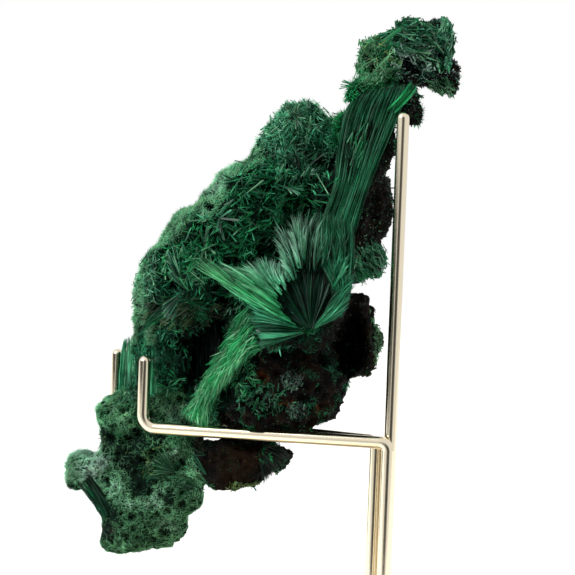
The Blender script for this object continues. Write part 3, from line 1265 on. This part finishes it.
def grow_star(crystals, plan):
    (x, z), count, reach, width, (low, high), lean, shades = plan
    draw = crystals.draw
    hub, normal, _ = face_spot(x, z)
    angle = np.radians(draw.uniform(low, high, count))
    out = lean + draw.normal(0, 0.22, count)
    direction = unit(np.stack([np.cos(angle), -np.abs(out), np.sin(angle)], axis=1))
    flat = direction - np.outer(np.minimum(direction @ normal, 0), normal)
    lengths = reach * draw.uniform(0.55, 1.1, count)
    roots = hub + normal * 0.5 + flat * draw.uniform(0, 0.25 * reach, (count, 1))
    colours = pick_shades(shades, draw.beta(2, 2, count))
    widths = width * draw.uniform(0.6, 1.3, count)
    crystals.straight(roots, unit(flat), lengths, widths, colours, off=2.6)


def lay_across(crystals, plan):
    """Lays crystals over an oval of the face, most of them the same way."""
    (x, z), (wide, tall), count, length, width, (way, spread), pile, shades = plan
    draw = crystals.draw
    turn, out = draw.uniform(0, 2 * math.pi, count), np.sqrt(draw.random(count))
    spots = [
        face_spot(a, b) for a, b in
        zip(x + wide * out * np.cos(turn), z + tall * out * np.sin(turn))
    ]
    place, normal, openness = (np.array(column) for column in zip(*spots))
    angle = np.radians(way + draw.normal(0, spread, count))
    direction = np.stack([np.cos(angle), draw.normal(0, 0.12, count), np.sin(angle)], axis=1)
    direction *= draw.choice([-1.0, 1.0], (count, 1))
    direction -= normal * (direction * normal).sum(1, keepdims=True) * 0.85
    direction = unit(direction)
    reach = length * draw.uniform(0.5, 1.2, count)
    roots = place + normal * draw.uniform(0.0, pile, (count, 1)) - direction * reach[:, None] / 2
    near = Ground.tree.find_nearest
    kept = np.array([near(Vector(root))[3] < 1.3 for root in roots], bool)
    kept &= openness > draw.uniform(0.15, 0.7, count)
    roots, direction, reach, openness = (a[kept] for a in (roots, direction, reach, openness))
    count = len(roots)
    colours = pick_shades(shades, draw.beta(1.4, 1.6, count)) * (0.3 + 0.8 * openness)[:, None]
    crystals.straight(roots, direction, reach, width * draw.uniform(0.5, 1.4, count), colours)


def grow_single(crystals, plan):
    ends = np.array([face_spot(*plan[0])[0], face_spot(*plan[1])[0]])
    ends[:, 1] = ends[:, 1].min() - 0.5
    reach = ends[1] - ends[0]
    length = np.array([np.linalg.norm(reach)])
    colours = np.array([linear(SHADES[plan[3]])])
    crystals.straight(ends[:1], unit(reach[None]), length, np.array([plan[2]]), colours)


def grow_glints(crystals, name):
    count, length, width, shades = GLINTS[name]
    draw = crystals.draw
    place, normal, kinds, openness = sample_ground(count * 24, draw)
    here = np.flatnonzero(kinds == GROUND_NAMES.index(name))[:count]
    many = len(here)
    direction = unit(tangents(normal[here], draw) + normal[here] * draw.uniform(0, 1.5, (many, 1)))
    lengths = length * draw.uniform(0.4, 1.2, many)
    share = np.clip(draw.beta(1.2, 2.4, many) * (0.4 + 0.9 * openness[here]), 0, 1)
    colours = pick_shades(shades, share)
    roots = place[here] - normal[here] * 0.2
    crystals.straight(roots, direction, lengths, width * draw.uniform(0.6, 1.4, many), colours)


def spline_points(rungs, share):
    """Points on a smooth curve through the rungs. rungs: n x r x 3, share: n x k, 0 to 1."""
    count = rungs.shape[1]
    spot = np.clip(share, 0, 0.9999) * (count - 1)
    low = spot.astype(int)
    t = (spot - low)[:, :, None]
    rows = np.arange(len(rungs))[:, None]
    before = rungs[rows, np.maximum(low - 1, 0)]
    first = rungs[rows, low]
    second = rungs[rows, low + 1]
    after = rungs[rows, np.minimum(low + 2, count - 1)]
    return 0.5 * (
        2 * first + (second - before) * t
        + (2 * before - 5 * first + 4 * second - after) * t ** 2
        + (3 * first - before - 3 * second + after) * t ** 3
    )


def clump_edges(count, draw):
    """Uneven borders that split 0 to 1 into clumps."""
    even = np.arange(1, count) / count
    return np.concatenate([[0], even + draw.uniform(-0.4, 0.4, count - 1) / count, [1.0001]])


def grow_bundle(crystals, plan):
    """Fibres that follow a bundle's rungs, in clumps with grooves between them."""
    draw = crystals.draw
    rungs = np.array(plan["rungs"], float)
    count, clumps, steps = plan["count"], plan["clumps"], plan["steps"]
    across = draw.random(count)
    edges = clump_edges(clumps, draw)
    clump = np.searchsorted(edges, across, side="right") - 1
    inside = (across - edges[clump]) / (edges[clump + 1] - edges[clump])
    paths = rungs[None, :, 0] * (1 - across)[:, None, None]
    paths = paths + rungs[None, :, 1] * across[:, None, None]
    start = draw.uniform(*plan["starts"], count)
    end = np.minimum(start + draw.uniform(*plan["length"], count), draw.uniform(0.9, 1.02, count))
    share = start[:, None] + (end - start)[:, None] * np.linspace(0, 1, steps)[None, :]
    lines = spline_points(paths, share)
    ahead = rungs[-1].mean(0) - rungs[0].mean(0)
    sideways = (rungs[:, 1] - rungs[:, 0]).mean(0)
    out = unit(np.cross(sideways, ahead)[None])[0]
    out = -out if out[1] > 0 else out
    sideways = unit(sideways[None])[0]
    height = draw.uniform(0.25, 1.0, clumps)[clump] - (np.abs(inside - 0.5) * 2) ** 2 * 0.8
    depth = (height + draw.normal(0, 0.2, count)) * plan["relief"] - 0.5
    wave = np.linspace(0, 1, steps)[None, :]
    stray = plan.get("stray", 0.16)
    drift = draw.normal(0, stray, (count, 1)) * wave + draw.normal(0, 0.04, (count, steps))
    lift = depth[:, None] + draw.normal(0, 0.22, (count, 1)) * wave
    lines = lines + out * lift[:, :, None] + sideways * drift[:, :, None]
    tone = draw.uniform(0, 0.9, clumps)[clump] * 0.5 + draw.beta(1.1, 1.4, count) * 0.65
    colours = pick_shades(plan["shades"], tone)
    level = np.clip(0.4 + 1.05 * height, 0.15, 1.5) * (1 - plan.get("fade", 0.0) * start)
    colours *= level[:, None]
    widths = plan["width"] * draw.uniform(0.6, 1.35, count)
    crystals.add(lines, widths, colours * 0.8, colours * 1.25)


def grow_fan_layer(crystals, layer):
    """One layer of the great fan, in clumps that end unevenly."""
    draw = crystals.draw
    count, clumps = layer["count"], layer["clumps"]
    outline = np.array(FAN_OUTLINE, float)
    low, high = layer["angles"]
    across = draw.random(count)
    edges = clump_edges(clumps, draw)
    clump = np.searchsorted(edges, across, side="right") - 1
    inside = (across - edges[clump]) / (edges[clump + 1] - edges[clump])
    angle = low + (high - low) * across
    inner, outer = (np.interp(angle, outline[:, 0], outline[:, i]) for i in (1, 2))
    inner = inner * draw.uniform(0.84, 1.14, clumps)[clump]
    outer = outer * draw.uniform(0.84, 1.05, clumps)[clump]
    if layer["within"] is None:
        first = draw.uniform(0.5, 3.0, count)
        last = first + (inner + 1.2 - first) * draw.uniform(*layer["length"], count)
    else:
        span = outer - inner
        first = inner + span * draw.uniform(*layer["within"], count)
        last = np.minimum(first + span * draw.uniform(*layer["length"], count), outer)
        last = last * draw.uniform(0.93, 1.03, count)
    first = np.minimum(first, last - 0.8)
    height = draw.uniform(0.2, 1.0, clumps)[clump] - (np.abs(inside - 0.5) * 2) ** 2 * 0.9
    steps = 4
    wave = np.linspace(0, 1, steps)[None, :]
    reach = first[:, None] + (last - first)[:, None] * wave
    turn = np.radians(angle[:, None] + draw.normal(0, 1.2, (count, 1)) * wave
                      + 3.0 * np.sin(angle[:, None] * 0.19) * wave ** 2)
    lift = (height + draw.normal(0, 0.18, count)) * layer["relief"] + layer["lift"]
    fade = np.clip(reach / 5.0, 0, 1) * np.clip(1.25 - 0.5 * reach / outer[:, None], 0, 1)
    if layer["within"] is None:
        fade = np.sin(np.clip(reach / (inner[:, None] + 1.2), 0, 1) * math.pi)
    lines = np.stack(
        [
            FAN_HUB[0] + np.cos(turn) * reach,
            FAN_HUB[1] + FAN_BACK_SLOPE * reach - lift[:, None] * fade
            + draw.normal(0, 0.12, (count, 1)) * wave,
            FAN_HUB[2] + np.sin(turn) * reach,
        ],
        axis=2,
    )
    tone = draw.uniform(0, 0.9, clumps)[clump] * 0.5 + draw.beta(0.9, 1.1, count) * 0.65
    if layer["within"] is None:
        colours = pick_shades(layer.get("shades", ("black", "deep", "green")), tone * 0.9)
        root, tip = colours * 0.7, colours
    else:
        marks = np.array([a for a, _ in FAN_SHADES], float)
        lows, highs = (np.array([linear(SHADES[s[i]]) for _, s in FAN_SHADES]) for i in (0, 1))
        dark, light = (
            np.stack([np.interp(angle, marks, table[:, c]) for c in range(3)], axis=1)
            for table in (lows, highs)
        )
        root = dark * (0.5 + tone)[:, None]
        tip = (dark + (light - dark) * np.clip(tone * 1.5, 0, 1)[:, None]) * 1.25
    level = np.clip(0.3 + 1.05 * height, 0.12, 1.35)[:, None]
    widths = layer["width"] * draw.uniform(0.6, 1.35, count)
    crystals.add(lines, widths, root * level, tip * level)


class SPECIMEN_OT_fine_growth(bpy.types.Operator):
    """Covers the ground with fine fibres: felt, velvet and moss"""

    bl_idname = "specimen.fine_growth"
    bl_label = "Fine Growth"

    def execute(self, context):
        look = settings()[0]
        felts = ["upper felt", "lobe felt", "nub felt", "head felt"]
        front = [n for n in GROUND_NAMES if n not in felts + ["rim", "back"]]
        silky = malachite_fibre("silky malachite felt", 0.55, 0.12)
        for name, kinds, seed in (
            ("face_fibres", front, 21), ("felt_fibres", felts, 22), ("rim_velvet", ["rim"], 23),
            ("back_fibres", ["back"], 24),
        ):
            fibres = growth(kinds, 1.0, seed, look)
            print(name, fibres.triangles())
            keep_piece(fibres.build(name, silky), "malachite")
        return {"FINISHED"}


class SPECIMEN_OT_sprays(bpy.types.Operator):
    """Grows sprays and stars of larger crystals out of the ground"""

    bl_idname = "specimen.sprays"
    bl_label = "Sprays"

    def execute(self, context):
        glossy = malachite_fibre("prismatic malachite", 0.34, 0.24)
        front = [n for n in SPRAYS if n != "back"]
        for name, kinds, seed in (("face_sprays", front, 31), ("back_sprays", ["back"], 32)):
            crystals = sprays(kinds, seed)
            print(name, crystals.triangles())
            keep_piece(crystals.build(name, glossy), "malachite")
        crystals = Crystals(33)
        for plan in STARS:
            grow_star(crystals, plan)
        for plan in SINGLE_LATHS:
            grow_single(crystals, plan)
        for plan in LAID:
            lay_across(crystals, plan)
        grow_strays(crystals, ["thicket", "rays"], 260, 3.6, 0.26, ("green", "bright", "mint"))
        grow_strays(crystals, ["knob", "throat"], 90, 2.4, 0.24, ("green", "mint", "pale"))
        grow_strays(crystals, ["back"], 420, 4.6, 0.3, ("green", "bright", "mint"))
        print("stars", crystals.triangles())
        keep_piece(crystals.build("face_stars", glossy), "malachite")
        crystals = Crystals(34)
        for name in GLINTS:
            grow_glints(crystals, name)
        print("glints", crystals.triangles())
        keep_piece(crystals.build("crust_crystals", glossy), "malachite")
        return {"FINISHED"}


class SPECIMEN_OT_bundles(bpy.types.Operator):
    """Grows the long silky bundles: the blade, the great fan and the columns"""

    bl_idname = "specimen.bundles"
    bl_label = "Bundles"

    def execute(self, context):
        silk = malachite_fibre("satin-spar malachite", 0.4, 0.18)
        groups = {"blade_fibres": ["blade", "hub up"]}
        groups["side_fibres"] = [n for n in BUNDLES if n not in groups["blade_fibres"]]
        for seed, (name, bundles) in enumerate(groups.items(), 41):
            crystals = Crystals(seed)
            for bundle in bundles:
                grow_bundle(crystals, BUNDLES[bundle])
            print(name, crystals.triangles())
            keep_piece(crystals.build(name, silk), "malachite")
        crystals = Crystals(45)
        for layer in FAN_LAYERS.values():
            grow_fan_layer(crystals, layer)
        print("fan", crystals.triangles())
        keep_piece(crystals.build("fan_fibres", silk), "malachite")
        return {"FINISHED"}


# Where the wires stand and where their prongs turn up, along X and Y
RIGHT_WIRE = (20.04, -11.70)
LEFT_WIRE = (17.85, -8.05)
BACK_WIRE = (20.60, -8.75)
RIGHT_PRONG = (-29.5, 2.5)
LEFT_PRONG = (-38.15, 34.4)
BEND_RADII = (1.7, 2.9)
BEND_STEPS = 12
DOME_STEPS = 8
SOCKET_DEPTH = 6.0
SOCKET_PLAY = 0.3


def bend(before, corner, after, radius):
    """Points on the arc of the given radius that rounds the corner of a wire."""
    inward, outward = (before - corner).normalized(), (after - corner).normalized()
    half = inward.angle(outward) / 2
    reach = radius / math.tan(half)
    middle = corner + (inward + outward).normalized() * (radius / math.sin(half))
    start, end = corner + inward * reach - middle, corner + outward * reach - middle
    axis, angle = start.rotation_difference(end).to_axis_angle()
    return [
        middle + Matrix.Rotation(angle * i / BEND_STEPS, 3, axis) @ start
        for i in range(BEND_STEPS + 1)
    ]


def bent_wire(name, corners, thickness):
    """A round wire through the corners, in millimetres, with a domed free end."""
    corners = [Vector(c) for c in corners]
    path = [corners[0]]
    for before, corner, after, radius in zip(corners, corners[1:], corners[2:], BEND_RADII):
        path += bend(before, corner, after, radius)
    tip, ahead = corners[-1], (corners[-1] - corners[-2]).normalized()
    widths = [1.0] * len(path)
    for i in range(DOME_STEPS + 1):
        angle = math.radians(89) * i / DOME_STEPS
        path.append(tip - ahead * (thickness / 2 * (1 - math.sin(angle))))
        widths.append(math.cos(angle))
    curve = bpy.data.curves.new(name, "CURVE")
    curve.dimensions = "3D"
    curve.bevel_depth = thickness / 2 * MM
    curve.bevel_resolution = 14
    curve.use_fill_caps = True
    spline = curve.splines.new("POLY")
    spline.points.add(len(path) - 1)
    for point, place, width in zip(spline.points, path, widths):
        point.co = (*(place * MM), 1)
        point.radius = width
    spline.use_smooth = True
    wire = link(bpy.data.objects.new(name, curve))
    select_only(wire)
    bpy.ops.object.convert(target="MESH")
    weld = wire.modifiers.new("weld", "WELD")
    weld.merge_threshold = 0.000005
    bpy.ops.object.modifier_apply(modifier="weld")
    bpy.ops.object.shade_smooth_by_angle(angle=math.radians(60))
    return wire


class STAND_OT_wires(bpy.types.Operator):
    """Bends the three wires of the stand"""

    bl_idname = "stand.wires"
    bl_label = "Wires"

    def execute(self, context):
        look = settings()[1]
        nickel = polished_nickel("buffed nickel plate on drawn steel", look.plating, 0.14)
        foot = look.base_height / MM - SOCKET_DEPTH + SOCKET_PLAY
        arm, prong, post = (v / MM for v in (look.arm_height, look.prong_tip, look.post_tip))
        for name, stand, turned, node in (
            ("right_wire", RIGHT_WIRE, RIGHT_PRONG, "right_arm_wire"),
            ("left_wire", LEFT_WIRE, LEFT_PRONG, "left_arm_wire"),
            ("back_wire", BACK_WIRE, None, "back_post_wire"),
        ):
            corners = [(*stand, foot), (*stand, post)]
            if turned:
                corners = [(*stand, foot), (*stand, arm), (*turned, arm), (*turned, prong)]
            wire = bent_wire(name, corners, look.wire / MM)
            wire.data.materials.append(nickel)
            keep_piece(wire, "plated_steel", node)
        return {"FINISHED"}


class STAND_OT_base(bpy.types.Operator):
    """Turns the round base of the stand and drills its socket"""

    bl_idname = "stand.base"
    bl_label = "Base"

    def execute(self, context):
        look = settings()[1]
        height, radius = look.base_height, look.base_width / 2
        deselect_all()
        bpy.ops.mesh.primitive_cylinder_add(
            vertices=144, radius=radius, depth=height, location=(0, 0, height / 2)
        )
        base = context.object
        base.name = "round_base"
        bpy.ops.object.transform_apply(location=True, rotation=True, scale=True)
        stands = (RIGHT_WIRE, LEFT_WIRE, BACK_WIRE)
        middle = [sum(w[i] for w in stands) / 3 for i in (0, 1)]
        spread = max(math.dist(middle, w) for w in stands)
        deselect_all()
        bpy.ops.mesh.primitive_cylinder_add(
            vertices=48, radius=(spread + SOCKET_PLAY) * MM + look.wire / 2,
            depth=2 * SOCKET_DEPTH * MM, location=(middle[0] * MM, middle[1] * MM, height),
        )
        drill = context.object
        select_only(base)
        hole = base.modifiers.new("socket", "BOOLEAN")
        hole.operation = "DIFFERENCE"
        hole.object = drill
        bpy.ops.object.modifier_apply(modifier="socket")
        bpy.data.objects.remove(drill)
        bevel = base.modifiers.new("eased edges", "BEVEL")
        bevel.width = 0.9 * MM
        bevel.segments = 4
        bevel.limit_method = "ANGLE"
        bevel.angle_limit = math.radians(60)
        bpy.ops.object.modifier_apply(modifier="eased edges")
        bpy.ops.object.shade_smooth_by_angle(angle=math.radians(40))
        base.data.materials.append(
            polished_nickel("satin nickel plate on turned steel", look.base_colour, 0.3)
        )
        keep_piece(base, "plated_steel", "base")
        return {"FINISHED"}


def studio_floor(look):
    """Seamless white paper, evenly lit, so it stays paper white right into the distance."""
    material, tree, shader = new_material("white background paper")
    shader.inputs["Base Color"].default_value = rgba(look.floor_colour)
    shader.inputs["Emission Color"].default_value = (1, 1, 1, 1)
    shader.inputs["Emission Strength"].default_value = 0.45
    set_values(shader, Roughness=0.9)
    return material


def wrap_around_light(strength):
    """White all round the specimen but for the dark side of the room, behind the camera."""
    world = bpy.data.worlds.new("white cyclorama")
    world.use_nodes = True
    tree = world.node_tree
    background = tree.nodes["Background"]
    ray = add_node(tree, "ShaderNodeTexCoord").outputs["Generated"]
    towards = add_node(
        tree, "ShaderNodeVectorMath", {1: (0.02, -1.0, 0.0)}, {0: ray}, operation="DOT_PRODUCT"
    ).outputs["Value"]
    wrap, mirrored = (
        add_node(
            tree, "ShaderNodeMapRange",
            {"From Min": bright, "From Max": dark, "To Min": strength, "To Max": least},
            {"Value": towards}, interpolation_type=blend,
        ).outputs["Result"]
        for bright, dark, least, blend in (
            (0.45, 0.86, 0.03, "SMOOTHSTEP"), (0.8, 0.99, 0.06, "SMOOTHSTEP")
        )
    )
    # The dark curtain low on the left of the room shows in polished metal only.
    curtain = None
    for axis, *edges in (
        ((-0.946, -0.326, 0.0), (0.78, 0.84)), ((0.0, 0.0, 1.0), (-0.036, -0.03), (0.16, 0.12))
    ):
        along = add_node(
            tree, "ShaderNodeVectorMath", {1: axis}, {0: ray}, operation="DOT_PRODUCT"
        ).outputs["Value"]
        for outside, inside in edges:
            share = add_node(
                tree, "ShaderNodeMapRange", {"From Min": outside, "From Max": inside},
                {"Value": along},
            ).outputs["Result"]
            curtain = share if curtain is None else add_node(
                tree, "ShaderNodeMath", {}, {0: curtain, 1: share}, operation="MULTIPLY"
            ).outputs[0]
    mirrored = add_node(
        tree, "ShaderNodeMix", {3: 0.03}, {0: curtain, 2: mirrored}, data_type="FLOAT"
    ).outputs[0]
    path = add_node(tree, "ShaderNodeLightPath").outputs
    level = add_node(
        tree, "ShaderNodeMix", {}, {0: path["Is Glossy Ray"], 2: wrap, 3: mirrored},
        data_type="FLOAT",
    ).outputs[0]
    level = add_node(
        tree, "ShaderNodeMix", {3: 1.0}, {0: path["Is Camera Ray"], 2: level}, data_type="FLOAT"
    ).outputs[0]
    tree.links.new(level, background.inputs["Strength"])
    background.inputs["Color"].default_value = (1, 1, 1, 1)
    return world


def soft_box(name, place, aim, size, power):
    light = bpy.data.lights.new(name, "AREA")
    light.shape = "RECTANGLE"
    light.size, light.size_y = size
    light.energy = power
    lamp = link(bpy.data.objects.new(name, light))
    direction = Vector(aim) - Vector(place)
    lamp.matrix_world = (
        Matrix.Translation(place) @ direction.to_track_quat("-Z", "Y").to_matrix().to_4x4()
    )
    return lamp


CAMERA_SIDE = -1.0
CAMERA_ROLL = 2.3
FLOOR_FRONT = 0.14


class STAGE_OT_studio(bpy.types.Operator):
    """Sets the floor, the soft light and the camera"""

    bl_idname = "stage.studio"
    bl_label = "Studio"

    def execute(self, context):
        look = settings()[2]
        deselect_all()
        bpy.ops.mesh.primitive_plane_add(size=12.0, location=(0, 6.0 - FLOOR_FRONT, 0))
        bpy.ops.object.transform_apply(location=True)
        floor = context.object
        floor.name = "floor_paper"
        floor.data.materials.append(studio_floor(look))
        context.scene.world = wrap_around_light(0.85)
        soft_box("key softbox", (-0.55, -0.35, 0.55), (0, 0, 0.08), (0.4, 0.5), 3.2)
        camera = bpy.data.cameras.new("camera")
        camera.lens, camera.sensor_width = look.lens, 36.0
        camera.clip_start, camera.clip_end = 0.01, 50.0
        eye = link(bpy.data.objects.new("camera", camera))
        eye.matrix_world = (
            Matrix.Translation((CAMERA_SIDE * MM, -look.distance, look.height))
            @ Matrix.Rotation(math.radians(90), 4, "X")
            @ Matrix.Rotation(math.radians(CAMERA_ROLL), 4, "Z")
        )
        context.scene.camera = eye
        context.scene.view_settings.view_transform = "Standard"
        return {"FINISHED"}


class VIEW3D_PT_specimen(bpy.types.Panel):
    """Lists the pieces of the specimen and its stand"""

    bl_label = "Malachite Specimen"
    bl_idname = "VIEW3D_PT_specimen"
    bl_space_type = "VIEW_3D"
    bl_region_type = "UI"
    bl_category = "Specimen"

    def draw(self, context):
        scene = context.scene
        for group in (scene.malachite_settings, scene.malachite_stand, scene.malachite_studio):
            box = self.layout.box()
            for name in group.bl_rna.properties.keys():
                if name not in ("rna_type", "name"):
                    box.prop(group, name)
        for operator in OPERATORS:
            self.layout.operator(operator.bl_idname)


OPERATORS = (
    SPECIMEN_OT_ground, SPECIMEN_OT_fine_growth, SPECIMEN_OT_sprays, SPECIMEN_OT_bundles,
    STAND_OT_wires, STAND_OT_base, STAGE_OT_studio,
)
CLASSES = (MalachiteSettings, StandSettings, StudioSettings) + OPERATORS + (VIEW3D_PT_specimen,)


def register():
    for item in CLASSES:
        bpy.utils.register_class(item)
    bpy.types.Scene.malachite_settings = bpy.props.PointerProperty(type=MalachiteSettings)
    bpy.types.Scene.malachite_stand = bpy.props.PointerProperty(type=StandSettings)
    bpy.types.Scene.malachite_studio = bpy.props.PointerProperty(type=StudioSettings)


def unregister():
    del bpy.types.Scene.malachite_studio
    del bpy.types.Scene.malachite_stand
    del bpy.types.Scene.malachite_settings
    for item in reversed(CLASSES):
        bpy.utils.unregister_class(item)


def main():
    register()
    deselect_all()
    bpy.ops.specimen.ground()
    bpy.ops.specimen.fine_growth()
    bpy.ops.specimen.sprays()
    bpy.ops.specimen.bundles()
    bpy.ops.stand.wires()
    bpy.ops.stand.base()
    bpy.ops.stage.studio()


if __name__ == "__main__":
    main()
